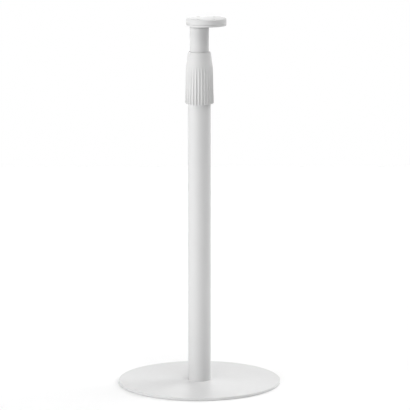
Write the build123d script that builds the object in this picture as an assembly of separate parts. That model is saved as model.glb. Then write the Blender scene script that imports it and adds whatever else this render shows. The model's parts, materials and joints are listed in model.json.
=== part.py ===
from build123d import *
from math import cos, radians, sin, sqrt
import os

# A free-standing telescopic pole with a round weighted base, a twist lock and an off-centre
# round mounting head. Millimetres, +Z up. The origin is the centre of the pole on the surface
# that the rubber feet rest on. The head overhangs the pole towards +X.

# ---- driving dimensions -------------------------------------------------------------------

# fits, all radial
snug = 0.02
running = 0.06
loose = 0.3

# how far a cut runs past the surface that it leaves
past = 1.0

# base
pad_thickness = 1.5
pad_proud = 0.5
pad_radius = 7.0
pad_edge = 0.2
pad_count = 6
pad_circle_radius = 96.0
first_pad_angle = 30.0
plate_radius = 108.0
plate_thickness = 3.5
plate_edge_radius = 0.6
plate_bottom = pad_proud
plate_top = plate_bottom + plate_thickness

# tubes
tube_wall = 1.2
outer_tube_radius = 15.0
outer_tube_bore = outer_tube_radius - tube_wall
outer_tube_top = 399.0
inner_tube_radius = 12.5
inner_tube_bore = inner_tube_radius - tube_wall
inner_tube_top = 477.0

# rivets through a tube wall, cut with a tool that spans it
rivet_radius = 1.5
rivet_tool_start = 9.0
rivet_tool_end = 20.0

# foot of the outer tube
plug_top = plate_top + 25.0
plug_edge = 0.8
base_screw_count = 3
base_screw_circle_radius = 8.0
base_screw_radius = 2.5
base_screw_head_radius = 5.0
base_screw_head_height = 2.7
base_screw_length = 16.0
base_screw_key = 3.0
base_screw_key_depth = 1.9
base_hole_radius = 2.75
base_seat_radius = base_screw_head_radius + 0.15
tapped_hole_spare = 2.0
bumper_radius = 10.0
bumper_edge_radius = 1.5
bumper_top = plug_top + 8.0
bumper_stem_radius = 4.0
bumper_stem_length = 9.0
bumper_stem_spare = 1.0

# foot of the inner tube
bush_bottom = bumper_top
bush_floor = 3.0
bush_length = 30.0
bush_spigot_length = 15.0
bush_spigot_bore = 9.5
bush_drain_radius = 6.0
bush_rivet_z = bush_bottom + 10.0
inner_tube_bottom = bush_bottom + bush_floor

# collet in the top of the outer tube
collet_spigot_length = 30.0
collet_flange_top = outer_tube_top + 3.0
collet_neck_radius = 14.4
collet_taper_start = 409.0
collet_top = 435.0
collet_tip_radius = 13.5
collet_slot_count = 6
collet_slot_width = 1.6
collet_slot_bottom = 412.0
collet_bore = inner_tube_radius + 0.05
collet_rivet_z = 391.0
collet_rivet_inner_radius = collet_bore + 0.05
snap_ring_bottom = 403.5
snap_ring_top = snap_ring_bottom + 1.2
snap_ring_groove_radius = 13.8
snap_ring_radius = 15.8
snap_ring_gap = 8.3

# wedge ring that squeezes the collet
cone_bottom = 419.0
cone_top = cone_bottom + 14.0
cone_radius = 15.0
cone_gap = 0.03
cone_key_count = 3
cone_key_width = 1.2
cone_key_inner_radius = 12.85
cone_key_outer_radius = 14.7
cone_key_end = 1.0

# twist sleeve: (radius, z) down its outside, from the lip to the rounded bottom corner
sleeve_bottom = 376.9
sleeve_top = 445.1
sleeve_corner_radius = 1.4
sleeve_outline = (
    (14.45, sleeve_top),
    (15.15, 443.2),
    (15.6, 440.6),
    (16.4, 433.6),
    (17.2, 428.3),
    (17.75, 422.0),
    (18.05, 412.0),
    (18.3, 400.0),
    (18.65, 389.0),
    (19.0, sleeve_bottom + sleeve_corner_radius),
)
sleeve_bore = outer_tube_radius + loose
sleeve_cavity_top = 436.0
sleeve_end_wall_top = 442.3
sleeve_groove_bore = 16.0
sleeve_groove_play = 0.1
wiper_radius = 13.9
wiper_bore = inner_tube_radius + 0.15
wiper_top = sleeve_top - 0.8
wiper_bevel = 0.6

# upright grooves of the sleeve, which run out where its skirt gets narrower than their floor
flute_count = 28
flute_cutter_radius = 2.1
flute_floor_radius = 17.2
flute_cutter_top = 435.0
first_flute_angle = 5.2

# swivel on top of the inner tube
spigot_length = 20.0
spigot_edge = 0.8
collar_edge = 0.25
collar_gap = 0.5
collar_gap_depth = 1.0
collar_bottom = inner_tube_top + collar_gap
collar_top = inner_tube_top + 2.4
friction_washer_radius = 11.5
friction_washer_thickness = 0.6
neck_radius = 8.0
spring_height = 0.8
spring_thickness = 0.4
spring_outer_radius = 11.0
retainer_radius = 10.5
swivel_screw_radius = 2.5
swivel_screw_length = 12.0
swivel_screw_head_radius = 4.75
swivel_screw_head_height = 2.75
swivel_screw_head_edge = 1.8
swivel_screw_key = 3.0
swivel_screw_key_floor = 0.9

# mounting head
head_offset = 9.0
head_radius = 26.5
head_bottom = collar_top + friction_washer_thickness
head_top = head_bottom + 9.6
head_top_edge_radius = 0.7
tray_top = head_bottom + 2.5
tray_edge_radius = 0.6
tray_top_edge = 0.4
tray_step_wall = 1.2
tray_step_top = tray_top + 1.0
cap_seam = 0.35
cap_seam_depth = 1.0
cap_wall = 2.2
cap_roof_bottom = head_top - 2.0
tray_step_radius = head_radius - cap_wall - 0.1
retainer_bottom = tray_top + spring_height
retainer_top = retainer_bottom + 1.0
mount_spacing_x = 20.0
mount_spacing_y = 30.0
mount_hole_radius = 2.2
insert_radius = 2.8
insert_bore = 1.65
insert_top = head_top - 1.0
insert_bottom = insert_top - 4.8
insert_waist_bottom = insert_bottom + 1.9
insert_waist_top = insert_waist_bottom + 1.0
insert_waist_depth = 0.4
insert_boss_radius = 4.2
tray_screw_circle_radius = 20.5
tray_screw_angles = (-90.0, 0.0, 90.0)
tray_screw_hole_radius = 1.7
tray_screw_neck_radius = 1.5
tray_screw_head_radius = 2.9
tray_screw_seat_radius = 3.0
tray_screw_head_top = head_bottom + 1.7
tray_screw_end = head_bottom + 6.0
tray_screw_hole_end = tray_screw_end + 0.5
tray_screw_key = 2.0
tray_screw_key_depth = 1.1
tray_screw_boss_radius = 3.2
tray_screw_boss_gap = 0.2
tray_screw_pilot = 1.3

BOTTOM_ALIGNED = (Align.CENTER, Align.CENTER, Align.MIN)


# ---- helpers ------------------------------------------------------------------------------

def rod(radius, z_low, z_high, x=0.0, y=0.0):
    """A solid round bar along Z."""
    return Pos(x, y, z_low) * Cylinder(radius, z_high - z_low, align=BOTTOM_ALIGNED)


def ring(inner_radius, outer_radius, z_low, z_high):
    """A plain tube along Z, centred on the pole."""
    return rod(outer_radius, z_low, z_high) - rod(inner_radius, z_low - past, z_high + past)


def turned(*profile):
    """A solid of revolution about the pole's axis from (radius, z) corners."""
    outline = Plane.XZ * Polyline(*profile, close=True)
    return revolve(make_face(outline), axis=Axis.Z)


def cone_bar(low_radius, high_radius, z_low, z_high, x=0.0, y=0.0):
    """A solid cone frustum along Z."""
    height = z_high - z_low
    return Pos(x, y, z_low) * Cone(low_radius, high_radius, height, align=BOTTOM_ALIGNED)


def bar_between(start, end, radius):
    """A round bar from one point to another."""
    start_point = Vector(*start)
    direction = Vector(*end) - start_point
    place = Plane(origin=start_point, z_dir=direction)
    return place * Cylinder(radius, direction.length, align=BOTTOM_ALIGNED)


def on_circle(radius, angle):
    """The X and Y of a point on a circle round the pole."""
    return radius * cos(radians(angle)), radius * sin(radians(angle))


def radial_pin(radius, inner_radius, outer_radius, z, side):
    """A pin lying along X, on the +X side (side 1) or the -X side (side -1)."""
    return bar_between((side * inner_radius, 0, z), (side * outer_radius, 0, z), radius)


def rivet_hole(z, side):
    """The tool that drills a rivet's hole through a tube and what is fixed in it."""
    return radial_pin(rivet_radius, rivet_tool_start, rivet_tool_end, z, side)


def hex_socket(across_flats, z_low, z_high, x=0.0, y=0.0):
    """A hexagonal prism to cut as a screw's key socket."""
    prism = extrude(RegularPolygon(across_flats / sqrt(3), 6), z_high - z_low)
    return Pos(x, y, z_low) * prism


# ---- base ---------------------------------------------------------------------------------

def pad_places():
    """Centres of the rubber pads under the plate."""
    step = 360 / pad_count
    return [on_circle(pad_circle_radius, first_pad_angle + index * step) for index in range(pad_count)]


def base_screw_places():
    """Centres of the screws that hold the tube's plug on the plate."""
    step = 360 / base_screw_count
    return [on_circle(base_screw_circle_radius, index * step) for index in range(base_screw_count)]


def make_base_plate():
    plate = rod(plate_radius, plate_bottom, plate_top)
    plate = fillet(plate.edges(), plate_edge_radius)
    seat_top = plate_bottom + base_screw_head_height
    for x, y in base_screw_places():
        plate -= rod(base_hole_radius, plate_bottom - past, plate_top + past, x, y)
        plate -= cone_bar(base_seat_radius, base_hole_radius, plate_bottom, seat_top, x, y)
    for x, y in pad_places():
        plate -= rod(pad_radius + snug, plate_bottom - past, pad_thickness, x, y)
    return plate


def make_foot_pad(x, y):
    pad = rod(pad_radius, 0, pad_thickness, x, y)
    return chamfer(pad.edges().sort_by(Axis.Z)[0], pad_edge)


def make_base_screw(x, y):
    seat_top = plate_bottom + base_screw_head_height
    end = plate_bottom + base_screw_length
    key_top = plate_bottom + base_screw_key_depth
    shank_radius = base_screw_radius - snug
    screw = cone_bar(base_screw_head_radius, shank_radius, plate_bottom, seat_top, x, y)
    screw += rod(shank_radius, seat_top, end, x, y)
    return screw - hex_socket(base_screw_key, plate_bottom - past, key_top, x, y)


def make_foot_plug():
    plug = rod(outer_tube_bore - snug, plate_top, plug_top)
    plug = chamfer(plug.edges().sort_by(Axis.Z)[-1], plug_edge)
    thread_end = plate_bottom + base_screw_length + tapped_hole_spare
    for x, y in base_screw_places():
        plug -= rod(base_screw_radius, plate_top - past, thread_end, x, y)
    stem_hole_floor = plug_top - bumper_stem_length - bumper_stem_spare
    return plug - rod(bumper_stem_radius, stem_hole_floor, plug_top + past)


def make_end_bumper():
    pad = rod(bumper_radius, plug_top, bumper_top)
    pad = fillet(pad.edges().sort_by(Axis.Z)[-1], bumper_edge_radius)
    return pad + rod(bumper_stem_radius - snug, plug_top - bumper_stem_length, plug_top)


# ---- tubes --------------------------------------------------------------------------------

def make_outer_tube():
    tube = ring(outer_tube_bore, outer_tube_radius, plate_top, outer_tube_top)
    for side in (-1, 1):
        tube -= rivet_hole(collet_rivet_z, side)
    return tube


def make_inner_tube():
    tube = ring(inner_tube_bore, inner_tube_radius, inner_tube_bottom, inner_tube_top)
    for side in (-1, 1):
        tube -= rivet_hole(bush_rivet_z, side)
    return tube


def make_guide_bush():
    outside = outer_tube_bore - running
    socket_radius = inner_tube_radius + snug
    spigot_radius = inner_tube_bore - snug
    spigot_top = inner_tube_bottom + bush_spigot_length
    bush_top = bush_bottom + bush_length
    bush = turned(
        (bush_drain_radius, bush_bottom),
        (outside, bush_bottom),
        (outside, bush_top),
        (socket_radius, bush_top),
        (socket_radius, inner_tube_bottom),
        (spigot_radius, inner_tube_bottom),
        (spigot_radius, spigot_top),
        (bush_spigot_bore, spigot_top),
        (bush_spigot_bore, inner_tube_bottom),
        (bush_drain_radius, inner_tube_bottom),
    )
    for side in (-1, 1):
        bush -= rivet_hole(bush_rivet_z, side)
    return bush


def make_bush_rivet(side):
    outer_end = outer_tube_bore - 2 * running
    return radial_pin(rivet_radius - snug, bush_spigot_bore, outer_end, bush_rivet_z, side)


# ---- twist lock ---------------------------------------------------------------------------

def collet_outer_radius(z):
    """The collet fingers' outside, which narrows towards their tips."""
    share = (z - collet_taper_start) / (collet_top - collet_taper_start)
    return collet_neck_radius + share * (collet_tip_radius - collet_neck_radius)


def make_collet_body():
    spigot_radius = outer_tube_bore - snug
    spigot_bottom = outer_tube_top - collet_spigot_length
    groove_bottom = snap_ring_bottom - snug
    groove_top = snap_ring_top + snug
    body = turned(
        (collet_bore, spigot_bottom),
        (spigot_radius, spigot_bottom),
        (spigot_radius, outer_tube_top),
        (outer_tube_radius, outer_tube_top),
        (outer_tube_radius, collet_flange_top),
        (collet_neck_radius, collet_flange_top),
        (collet_neck_radius, groove_bottom),
        (snap_ring_groove_radius, groove_bottom),
        (snap_ring_groove_radius, groove_top),
        (collet_neck_radius, groove_top),
        (collet_neck_radius, collet_taper_start),
        (collet_tip_radius, collet_top),
        (collet_bore, collet_top),
    )
    reach = collet_neck_radius + past
    height = collet_top + past - collet_slot_bottom
    slot = Box(reach, collet_slot_width, height, align=(Align.MIN, Align.CENTER, Align.MIN))
    for index in range(collet_slot_count):
        body -= Rot(0, 0, index * 360 / collet_slot_count) * Pos(0, 0, collet_slot_bottom) * slot
    for side in (-1, 1):
        body -= rivet_hole(collet_rivet_z, side)
    return body


def make_collet_rivet(side):
    radius = rivet_radius - snug
    return radial_pin(radius, collet_rivet_inner_radius, outer_tube_radius, collet_rivet_z, side)


def make_snap_ring():
    whole = ring(snap_ring_groove_radius + snug, snap_ring_radius, snap_ring_bottom, snap_ring_top)
    height = snap_ring_top - snap_ring_bottom + 2 * past
    gap = Box(2 * snap_ring_radius, snap_ring_gap, height, align=(Align.MAX, Align.CENTER, Align.MIN))
    return whole - Pos(0, 0, snap_ring_bottom - past) * gap


def make_clamp_cone():
    low_bore = collet_outer_radius(cone_bottom) + cone_gap
    high_bore = collet_outer_radius(cone_top) + cone_gap
    cone = turned(
        (low_bore, cone_bottom),
        (cone_radius, cone_bottom),
        (cone_radius, cone_top),
        (high_bore, cone_top),
    )
    key_length = cone_key_outer_radius - cone_key_inner_radius
    key_height = cone_top - cone_bottom - 2 * cone_key_end
    key = Box(key_length, cone_key_width, key_height, align=(Align.MIN, Align.CENTER, Align.MIN))
    key = Pos(cone_key_inner_radius, 0, cone_bottom + cone_key_end) * key
    for index in range(cone_key_count):
        cone += Rot(0, 0, index * 360 / cone_key_count) * key
    return cone


def sleeve_profile():
    """The sleeve's outside as a closed face in the XZ plane, from the pole's axis outwards."""
    lip = sleeve_outline[0]
    corner_start = sleeve_outline[-1]
    corner_end = (corner_start[0] - sleeve_corner_radius, sleeve_bottom)
    side = Spline(*sleeve_outline)
    corner = RadiusArc(corner_start, corner_end, sleeve_corner_radius)
    rest = Polyline(corner_end, (0, sleeve_bottom), (0, sleeve_top), lip)
    return make_face(Plane.XZ * Curve([side, corner, rest]))


def make_flute_cutter():
    """One groove's upright tool, which comes out of the narrowing skirt in a pointed arch."""
    x = flute_floor_radius + flute_cutter_radius
    return rod(flute_cutter_radius, sleeve_bottom - past, flute_cutter_top, x=x)


def make_lock_sleeve():
    groove_low = snap_ring_bottom - sleeve_groove_play
    groove_high = snap_ring_top + sleeve_groove_play
    mouth_radius = inner_tube_radius + loose
    sleeve = revolve(sleeve_profile(), axis=Axis.Z)
    cutter = make_flute_cutter()
    for index in range(flute_count):
        sleeve -= Rot(0, 0, first_flute_angle + index * 360 / flute_count) * cutter
    hollow = turned(
        (0, sleeve_bottom - past),
        (sleeve_bore, sleeve_bottom - past),
        (sleeve_bore, groove_low),
        (sleeve_groove_bore, groove_low),
        (sleeve_groove_bore, groove_high),
        (sleeve_bore, groove_high),
        (sleeve_bore, sleeve_cavity_top),
        (mouth_radius, sleeve_cavity_top),
        (mouth_radius, sleeve_end_wall_top),
        (wiper_radius, sleeve_end_wall_top),
        (wiper_radius, sleeve_top + past),
        (0, sleeve_top + past),
    )
    return sleeve - hollow


def make_wiper_ring():
    outside = wiper_radius - snug
    return turned(
        (wiper_bore + wiper_bevel, sleeve_end_wall_top),
        (outside, sleeve_end_wall_top),
        (outside, wiper_top),
        (wiper_bore, wiper_top),
        (wiper_bore, wiper_top - wiper_bevel),
    )


# ---- swivel -------------------------------------------------------------------------------

def make_swivel_spigot():
    spigot_radius = inner_tube_bore - snug
    spigot_bottom = inner_tube_top - spigot_length
    thread_end = retainer_top - swivel_screw_length - tapped_hole_spare
    spigot = turned(
        (0, spigot_bottom),
        (spigot_radius - spigot_edge, spigot_bottom),
        (spigot_radius, spigot_bottom + spigot_edge),
        (spigot_radius, inner_tube_top),
        (inner_tube_radius - collar_gap_depth, inner_tube_top),
        (inner_tube_radius - collar_gap_depth, collar_bottom),
        (inner_tube_radius, collar_bottom),
        (inner_tube_radius, collar_top - collar_edge),
        (inner_tube_radius - collar_edge, collar_top),
        (neck_radius, collar_top),
        (neck_radius, retainer_bottom),
        (0, retainer_bottom),
    )
    return spigot - rod(swivel_screw_radius, thread_end, retainer_bottom + past)


def make_friction_washer():
    return ring(neck_radius + snug, friction_washer_radius, collar_top, head_bottom)


def make_spring_washer():
    inner_radius = neck_radius + loose
    return turned(
        (inner_radius, retainer_bottom - spring_thickness),
        (spring_outer_radius, tray_top),
        (spring_outer_radius, tray_top + spring_thickness),
        (inner_radius, retainer_bottom),
    )


def make_retaining_washer():
    return ring(swivel_screw_radius + snug, retainer_radius, retainer_bottom, retainer_top)


def make_swivel_screw():
    head_top_z = retainer_top + swivel_screw_head_height
    head = rod(swivel_screw_head_radius, retainer_top, head_top_z)
    head = fillet(head.edges().sort_by(Axis.Z)[-1], swivel_screw_head_edge)
    shank = rod(swivel_screw_radius - snug, retainer_top - swivel_screw_length, retainer_top)
    key_floor = retainer_top + swivel_screw_key_floor
    return head + shank - hex_socket(swivel_screw_key, key_floor, head_top_z + past)


# ---- mounting head ------------------------------------------------------------------------

def mount_places():
    """Centres of the threaded mounting holes, about the head's own centre."""
    half_x = mount_spacing_x / 2
    half_y = mount_spacing_y / 2
    return [(head_offset + i * half_x, j * half_y) for i in (-1, 1) for j in (-1, 1)]


def tray_screw_places():
    """Centres of the screws that join the tray to the cap."""
    places = []
    for angle in tray_screw_angles:
        x, y = on_circle(tray_screw_circle_radius, angle)
        places.append((head_offset + x, y))
    return places


def make_tray_step():
    """The raised ring on the tray that centres the cap, cut away round the bosses and the swivel."""
    step = rod(tray_step_radius, tray_top, tray_step_top, head_offset)
    low = tray_top - past
    high = tray_step_top + past
    step -= rod(tray_step_radius - tray_step_wall, low, high, head_offset)
    for x, y in tray_screw_places():
        step -= rod(tray_screw_boss_radius + tray_screw_boss_gap, low, high, x, y)
    return step - rod(spring_outer_radius + loose, low, high)


def make_head_tray():
    tray = rod(head_radius, head_bottom, tray_top, head_offset)
    tray = fillet(tray.edges().sort_by(Axis.Z)[0], tray_edge_radius)
    tray = chamfer(tray.edges().sort_by(Axis.Z)[-1], tray_top_edge)
    tray += make_tray_step()
    tray -= rod(neck_radius + running, head_bottom - past, tray_top + past)
    for x, y in tray_screw_places():
        tray -= rod(tray_screw_hole_radius, head_bottom - past, tray_top + past, x, y)
        tray -= cone_bar(
            tray_screw_seat_radius, tray_screw_neck_radius, head_bottom, tray_screw_head_top, x, y
        )
    return tray


def make_tray_screw(x, y):
    shank = tray_screw_pilot - snug
    key_top = head_bottom + tray_screw_key_depth
    screw = cone_bar(tray_screw_head_radius, shank, head_bottom, tray_screw_head_top, x, y)
    screw += rod(shank, tray_screw_head_top, tray_screw_end, x, y)
    return screw - hex_socket(tray_screw_key, head_bottom - past, key_top, x, y)


def make_head_cap():
    cap = rod(head_radius, tray_top, head_top, head_offset)
    cap = fillet(cap.edges().sort_by(Axis.Z)[-1], head_top_edge_radius)
    seam = rod(head_radius + past, tray_top - past, tray_top + cap_seam, head_offset)
    seam -= rod(head_radius - cap_seam_depth, tray_top - past, tray_top + cap_seam, head_offset)
    cap -= seam
    cap -= rod(head_radius - cap_wall, tray_top - past, cap_roof_bottom, head_offset)
    for x, y in mount_places():
        cap += rod(insert_boss_radius, insert_bottom, cap_roof_bottom, x, y)
    for x, y in tray_screw_places():
        cap += rod(tray_screw_boss_radius, tray_top, cap_roof_bottom, x, y)
    for x, y in mount_places():
        cap -= rod(mount_hole_radius, insert_bottom - past, head_top + past, x, y)
        cap -= rod(insert_radius, insert_bottom - past, insert_top, x, y)
    for x, y in tray_screw_places():
        cap -= rod(tray_screw_pilot, tray_top - past, tray_screw_hole_end, x, y)
    return cap


def make_threaded_insert(x, y):
    outside = insert_radius - snug
    waist_radius = outside - insert_waist_depth
    insert = rod(outside, insert_bottom, insert_top, x, y)
    waist = rod(outside + past, insert_waist_bottom, insert_waist_top, x, y)
    waist -= rod(waist_radius, insert_bottom, insert_top, x, y)
    return insert - waist - rod(insert_bore, insert_bottom - past, insert_top + past, x, y)


# ---- output -------------------------------------------------------------------------------

def make_nodes():
    nodes = {
        "base_plate": make_base_plate(),
        "foot_plug": make_foot_plug(),
        "end_bumper": make_end_bumper(),
        "outer_tube": make_outer_tube(),
        "inner_tube": make_inner_tube(),
        "guide_bush": make_guide_bush(),
        "collet_body": make_collet_body(),
        "snap_ring": make_snap_ring(),
        "clamp_cone": make_clamp_cone(),
        "lock_sleeve": make_lock_sleeve(),
        "wiper_ring": make_wiper_ring(),
        "swivel_spigot": make_swivel_spigot(),
        "friction_washer": make_friction_washer(),
        "spring_washer": make_spring_washer(),
        "retaining_washer": make_retaining_washer(),
        "swivel_screw": make_swivel_screw(),
        "head_tray": make_head_tray(),
        "head_cap": make_head_cap(),
    }
    for number, (x, y) in enumerate(pad_places(), 1):
        nodes[f"foot_pad_{number}"] = make_foot_pad(x, y)
    for number, (x, y) in enumerate(base_screw_places(), 1):
        nodes[f"base_screw_{number}"] = make_base_screw(x, y)
    for number, side in enumerate((-1, 1), 1):
        nodes[f"collet_rivet_{number}"] = make_collet_rivet(side)
        nodes[f"bush_rivet_{number}"] = make_bush_rivet(side)
    for number, (x, y) in enumerate(mount_places(), 1):
        nodes[f"threaded_insert_{number}"] = make_threaded_insert(x, y)
    for number, (x, y) in enumerate(tray_screw_places(), 1):
        nodes[f"tray_screw_{number}"] = make_tray_screw(x, y)
    return nodes


def main():
    os.makedirs("parts", exist_ok=True)
    for name, shape in make_nodes().items():
        export_step(shape, f"parts/{name}.step")


main()
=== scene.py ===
"""The looks of a telescopic pole stand: a round base, two tubes, a fluted twist lock and a round head.

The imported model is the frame. Metres, +Z up, the pole's axis is X = Y = 0, and the head overhangs
towards +X. The front, which the camera sees, faces -Y.
"""
import json
import math

import bpy
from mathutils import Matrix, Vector

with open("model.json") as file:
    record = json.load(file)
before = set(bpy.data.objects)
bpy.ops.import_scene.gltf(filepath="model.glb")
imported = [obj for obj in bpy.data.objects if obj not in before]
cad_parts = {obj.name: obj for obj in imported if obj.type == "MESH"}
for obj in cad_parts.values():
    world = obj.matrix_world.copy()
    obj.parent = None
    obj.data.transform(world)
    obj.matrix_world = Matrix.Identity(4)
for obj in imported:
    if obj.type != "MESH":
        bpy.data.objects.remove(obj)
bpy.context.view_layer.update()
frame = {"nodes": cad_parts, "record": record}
nodes = frame["nodes"]

MM = 0.001

# edge finder: rays per point, and the dot product of the rounded and true normals where an edge
# starts to show and where it shows in full
EDGE_SAMPLES = 4
EDGE_NONE = 0.998
EDGE_FULL = 0.85


# ---- shader helpers -----------------------------------------------------------------------

class Shader:
    """A small builder for one procedural material, in object coordinates."""

    def __init__(self, name):
        self.material = bpy.data.materials.new(name)
        self.material.use_nodes = True
        self.tree = self.material.node_tree
        self.tree.nodes.clear()
        self.output = self.node("ShaderNodeOutputMaterial")
        self.surface = self.node("ShaderNodeBsdfPrincipled")
        self.link(self.surface.outputs["BSDF"], self.output.inputs["Surface"])
        self.place = self.node("ShaderNodeTexCoord").outputs["Object"]

    def node(self, kind, **settings):
        made = self.tree.nodes.new(kind)
        for key, value in settings.items():
            setattr(made, key, value)
        return made

    def link(self, source, target):
        self.tree.links.new(source, target)

    def set(self, **values):
        """Constants on the shader's own sockets, such as specular_ior_level=0.5."""
        for key, value in values.items():
            name = " ".join(word.upper() if word == "ior" else word.capitalize() for word in key.split("_"))
            self.surface.inputs[name].default_value = value

    def stretched(self, x, y, z):
        """Object coordinates scaled by (x, y, z)."""
        mapping = self.node("ShaderNodeMapping")
        mapping.inputs["Scale"].default_value = (x, y, z)
        self.link(self.place, mapping.inputs["Vector"])
        return mapping.outputs["Vector"]

    def noise(self, per_metre, detail=2.0, roughness=0.5, place=None):
        made = self.node("ShaderNodeTexNoise")
        made.inputs["Scale"].default_value = per_metre
        made.inputs["Detail"].default_value = detail
        made.inputs["Roughness"].default_value = roughness
        self.link(place or self.place, made.inputs["Vector"])
        return made.outputs["Fac"]

    def remap(self, value, low, high, to_low, to_high):
        made = self.node("ShaderNodeMapRange")
        self.link(value, made.inputs["Value"])
        made.inputs["From Min"].default_value = low
        made.inputs["From Max"].default_value = high
        made.inputs["To Min"].default_value = to_low
        made.inputs["To Max"].default_value = to_high
        return made.outputs["Result"]

    def math(self, operation, first, second):
        made = self.node("ShaderNodeMath", operation=operation)
        for socket, value in zip(made.inputs, (first, second)):
            if isinstance(value, (int, float)):
                socket.default_value = value
            else:
                self.link(value, socket)
        return made.outputs[0]

    def mix(self, factor, first, second):
        made = self.node("ShaderNodeMix", data_type="RGBA")
        self.link(factor, made.inputs["Factor"])
        for socket, value in ((made.inputs["A"], first), (made.inputs["B"], second)):
            if isinstance(value, tuple):
                socket.default_value = (*value, 1.0)
            else:
                self.link(value, socket)
        return made.outputs["Result"]

    def edges(self, width):
        """About 1 on a convex or concave edge within width of it, and 0 on open surface."""
        rounded = self.node("ShaderNodeBevel", samples=EDGE_SAMPLES)
        rounded.inputs["Radius"].default_value = width
        geometry = self.node("ShaderNodeNewGeometry")
        dot = self.node("ShaderNodeVectorMath", operation="DOT_PRODUCT")
        self.link(rounded.outputs["Normal"], dot.inputs[0])
        self.link(geometry.outputs["Normal"], dot.inputs[1])
        return self.remap(dot.outputs["Value"], EDGE_NONE, EDGE_FULL, 0.0, 1.0)

    def bump(self, heights):
        """Chains bumps from (height, distance, strength) triples, coarse first."""
        normal = None
        for height, distance, strength in heights:
            made = self.node("ShaderNodeBump")
            made.inputs["Strength"].default_value = strength
            made.inputs["Distance"].default_value = distance
            self.link(height, made.inputs["Height"])
            if normal is not None:
                self.link(normal, made.inputs["Normal"])
            normal = made.outputs["Normal"]
        self.link(normal, self.surface.inputs["Normal"])

    def color(self, source):
        self.link(source, self.surface.inputs["Base Color"])

    def roughness(self, source):
        self.link(source, self.surface.inputs["Roughness"])

    def one_sided(self):
        """Leaves the surface clear from its back."""
        clear = self.node("ShaderNodeBsdfTransparent")
        either = self.node("ShaderNodeMixShader")
        self.link(self.node("ShaderNodeNewGeometry").outputs["Backfacing"], either.inputs["Fac"])
        self.link(self.surface.outputs["BSDF"], either.inputs[1])
        self.link(clear.outputs["BSDF"], either.inputs[2])
        self.link(either.outputs["Shader"], self.output.inputs["Surface"])


def grey(level):
    return (level, level, level)


# ---- materials ----------------------------------------------------------------------------

WHITE = 0.64
FAINT_SHINE = 0.08


def powder_coat():
    """Satin white powder coat: faint orange peel, thin spots along the edges."""
    shader = Shader("white_powder_coat")
    clouds = shader.noise(22.0, detail=3.0)
    flecks = shader.noise(1600.0, detail=1.0)
    tone = shader.mix(clouds, grey(WHITE - 0.012), grey(WHITE + 0.012))
    speck = shader.remap(flecks, 0.66, 0.74, 0.0, 0.25)
    tone = shader.mix(speck, tone, grey(WHITE - 0.06))
    worn = shader.math("MULTIPLY", shader.edges(0.5 * MM), shader.remap(clouds, 0.4, 0.7, 0.1, 0.6))
    shader.color(shader.mix(worn, tone, grey(WHITE - 0.07)))
    shader.roughness(shader.remap(shader.noise(180.0, detail=3.0), 0.3, 0.7, 0.38, 0.5))
    peel = shader.noise(650.0, detail=1.5)
    grain = shader.noise(2600.0, detail=1.0)
    shader.bump([(peel, 0.05 * MM, 0.35), (grain, 0.012 * MM, 0.3)])
    shader.set(specular_ior_level=FAINT_SHINE)
    return shader.material


def moulded_white():
    """Matte white moulding with a fine spark-eroded grain."""
    shader = Shader("white_plastic")
    clouds = shader.noise(30.0, detail=2.0)
    tone = shader.mix(clouds, (WHITE - 0.01, WHITE - 0.01, WHITE - 0.012), grey(WHITE + 0.01))
    rubbed = shader.math("MULTIPLY", shader.edges(0.4 * MM), 0.25)
    shader.color(shader.mix(rubbed, tone, grey(WHITE + 0.06)))
    shader.roughness(shader.remap(shader.noise(240.0, detail=3.0), 0.3, 0.7, 0.46, 0.58))
    grain = shader.noise(3200.0, detail=2.0, roughness=0.6)
    sink = shader.noise(90.0, detail=1.0)
    shader.bump([(sink, 0.04 * MM, 0.12), (grain, 0.02 * MM, 0.35)])
    shader.set(specular_ior_level=FAINT_SHINE)
    return shader.material


def soft_rubber(name, level, roughness_low, roughness_high):
    """Rubber with a dusty bloom and a fine pebbled skin."""
    shader = Shader(name)
    bloom = shader.noise(120.0, detail=4.0, roughness=0.6)
    shader.color(shader.mix(bloom, grey(level * 0.92), grey(level * 1.06)))
    shader.roughness(shader.remap(bloom, 0.3, 0.7, roughness_low, roughness_high))
    shader.bump([(shader.noise(2200.0, detail=1.0), 0.03 * MM, 0.4)])
    shader.set(specular_ior_level=0.3)
    return shader.material


def natural_nylon():
    """Uncoloured nylon: slightly translucent ivory with turning marks."""
    shader = Shader("natural_nylon")
    clouds = shader.noise(80.0, detail=3.0)
    shader.color(shader.mix(clouds, (0.70, 0.67, 0.58), (0.76, 0.74, 0.66)))
    shader.roughness(shader.remap(clouds, 0.3, 0.7, 0.35, 0.5))
    rings = shader.noise(400.0, detail=2.0, place=shader.stretched(0.05, 0.05, 6.0))
    shader.bump([(rings, 0.02 * MM, 0.4)])
    shader.set(subsurface_weight=0.08)
    return shader.material


def plated_steel():
    """Zinc-plated steel: spangled tone, fine drawing lines."""
    shader = Shader("zinc_steel")
    spangle = shader.noise(420.0, detail=3.0, roughness=0.6)
    shader.color(shader.mix(spangle, (0.52, 0.54, 0.57), (0.68, 0.69, 0.71)))
    shader.roughness(shader.remap(spangle, 0.3, 0.7, 0.24, 0.42))
    lines = shader.noise(900.0, detail=1.0, place=shader.stretched(1.0, 1.0, 0.1))
    shader.bump([(lines, 0.01 * MM, 0.4)])
    shader.set(metallic=1.0)
    return shader.material


def turned_metal(name, dark, light):
    """Bare turned metal with lathe rings round its axis."""
    shader = Shader(name)
    clouds = shader.noise(260.0, detail=3.0)
    shader.color(shader.mix(clouds, dark, light))
    shader.roughness(shader.remap(clouds, 0.3, 0.7, 0.22, 0.36))
    rings = shader.noise(700.0, detail=1.0, place=shader.stretched(0.05, 0.05, 5.0))
    shader.bump([(rings, 0.015 * MM, 0.5)])
    shader.set(metallic=1.0)
    return shader.material


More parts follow.
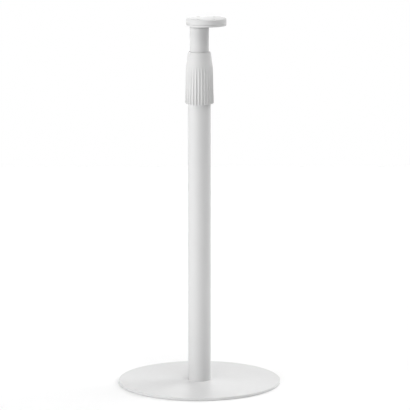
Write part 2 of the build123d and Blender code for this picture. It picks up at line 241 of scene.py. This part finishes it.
MATERIALS = {
    "white_powder_coat": powder_coat(),
    "white_plastic": moulded_white(),
    "pale_rubber": soft_rubber("pale_rubber", 0.66, 0.6, 0.8),
    "dark_rubber": soft_rubber("dark_rubber", 0.04, 0.55, 0.75),
    "natural_nylon": natural_nylon(),
    "zinc_steel": plated_steel(),
    "plain_aluminium": turned_metal("plain_aluminium", (0.72, 0.73, 0.74), (0.82, 0.83, 0.84)),
    "insert_brass": turned_metal("insert_brass", (0.68, 0.49, 0.20), (0.80, 0.62, 0.31)),
}


def dress_nodes():
    """Gives every CAD node the material of its slot in the record."""
    for part in frame["record"]["subparts"]:
        node = nodes[part["node"]]
        material = MATERIALS[part["material_slot"]]
        if not node.material_slots:
            node.data.materials.append(material)
        for place in node.material_slots:
            place.material = material


dress_nodes()


# ---- studio -------------------------------------------------------------------------------

CAMERA_DISTANCE = 3.814
CAMERA_HEIGHT = 0.9126
CAMERA_ASIDE = 0.0074
CAMERA_PITCH_DOWN = 9.99
CAMERA_FIELD = 8.03

FLOOR_WIDTH = 3.6
FLOOR_TONE = (0.965, 0.975)
FLOOR_CLOUDS = 3.0
FLOOR_ROUGHNESS = 0.9
FLOOR_GLOW = 0.02

# a narrow spot on the back left of the head's top: watts, cone in degrees, radius and places in metres
SPOT_POWER = 30.0
SPOT_CONE = 3.5
SPOT_RADIUS = 0.02
SPOT_PLACE = (-0.25, 0.60, 1.30)
SPOT_AIM = (-0.014, 0.028, 0.4896)

# wide soft lights: name, azimuth, elevation, strength, spread
LIGHTS = (
    ("key_left", -50.0, 12.0, 1.8, 60.0),
    ("fill_left", -80.0, 8.0, 1.2, 45.0),
    ("back_low", 180.0, 8.0, 1.3, 45.0),
    ("rim_right", 120.0, 25.0, 2.3, 50.0),
    ("top_front", 20.0, 65.0, 1.6, 45.0),
)


def make_floor():
    half = FLOOR_WIDTH / 2
    mesh = bpy.data.meshes.new("floor")
    corners = [(x * half, y * half, 0.0) for x, y in ((-1, -1), (1, -1), (1, 1), (-1, 1))]
    mesh.from_pydata(corners, [], [(0, 1, 2, 3)])
    floor = bpy.data.objects.new("floor", mesh)
    bpy.context.scene.collection.objects.link(floor)
    shader = Shader("studio_floor")
    dark, light = FLOOR_TONE
    shader.color(shader.mix(shader.noise(FLOOR_CLOUDS), grey(dark), grey(light)))
    shader.set(roughness=FLOOR_ROUGHNESS, specular_ior_level=0.0)
    shader.set(emission_color=(1.0, 1.0, 1.0, 1.0), emission_strength=FLOOR_GLOW)
    shader.one_sided()
    mesh.materials.append(shader.material)


def soft_sun(name, azimuth, elevation, strength, spread):
    """A wide soft light. Azimuth 0 is towards the camera and +90 is the camera's right."""
    light = bpy.data.lights.new(name, "SUN")
    light.energy = strength
    light.angle = math.radians(spread)
    lamp = bpy.data.objects.new(name, light)
    tilt = math.radians(90.0 - elevation)
    lamp.rotation_euler = (tilt, 0.0, math.radians(azimuth))
    bpy.context.scene.collection.objects.link(lamp)


def head_spot():
    """A narrow soft spot from high behind on the left, on the back left of the head's top."""
    light = bpy.data.lights.new("head_spot", "SPOT")
    light.energy = SPOT_POWER
    light.spot_size = math.radians(SPOT_CONE)
    light.spot_blend = 1.0
    light.shadow_soft_size = SPOT_RADIUS
    lamp = bpy.data.objects.new("head_spot", light)
    lamp.location = SPOT_PLACE
    aim = Vector(SPOT_AIM) - Vector(SPOT_PLACE)
    lamp.rotation_euler = aim.to_track_quat("-Z", "Y").to_euler()
    bpy.context.scene.collection.objects.link(lamp)


def make_world():
    """A white backdrop above the floor's edge, which gives no light of its own."""
    world = bpy.data.worlds.new("studio")
    world.use_nodes = True
    tree = world.node_tree
    backdrop = tree.nodes["Background"]
    backdrop.inputs["Color"].default_value = (1.0, 1.0, 1.0, 1.0)
    seen = tree.nodes.new("ShaderNodeLightPath").outputs["Is Camera Ray"]
    tree.links.new(seen, backdrop.inputs["Strength"])
    bpy.context.scene.world = world


def make_lights():
    for light in LIGHTS:
        soft_sun(*light)
    head_spot()


def make_camera():
    data = bpy.data.cameras.new("camera")
    data.angle = math.radians(CAMERA_FIELD)
    camera = bpy.data.objects.new("camera", data)
    camera.location = (CAMERA_ASIDE, -CAMERA_DISTANCE, CAMERA_HEIGHT)
    camera.rotation_euler = (math.radians(90.0 - CAMERA_PITCH_DOWN), 0.0, 0.0)
    bpy.context.scene.collection.objects.link(camera)
    bpy.context.scene.camera = camera


make_floor()
make_world()
make_lights()
make_camera()
bpy.context.scene.view_settings.view_transform = "Standard"
